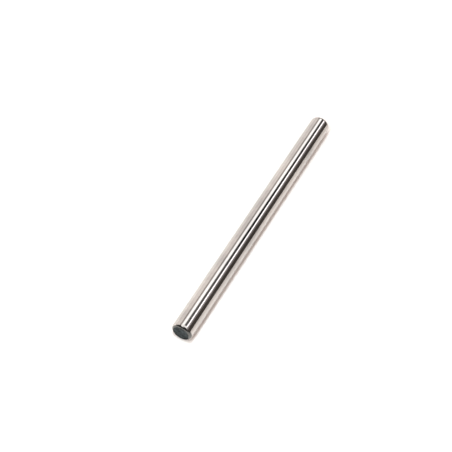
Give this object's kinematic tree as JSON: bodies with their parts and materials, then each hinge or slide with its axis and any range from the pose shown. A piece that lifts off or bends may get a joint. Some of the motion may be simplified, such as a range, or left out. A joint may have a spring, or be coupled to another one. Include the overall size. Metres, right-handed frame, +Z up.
{
  "type": "dowel pin",
  "caption": "Solid ground steel dowel pin: a straight round bar with dark crowned ends and rounded edges, for lining parts up in reamed holes.",
  "frame": {"origin": "centre of the pin, on its axis at the middle of its length", "axes": "+X along the pin, +Z up as it lies on a flat surface"},
  "size_m": [0.09, 0.006, 0.006],
  "materials": {
    "ground_steel": "finely ground and polished round side, dark heat-treated ends"
  },
  "bodies": {
    "root": {"pin": "ground_steel"}
  },
  "joints": []
}
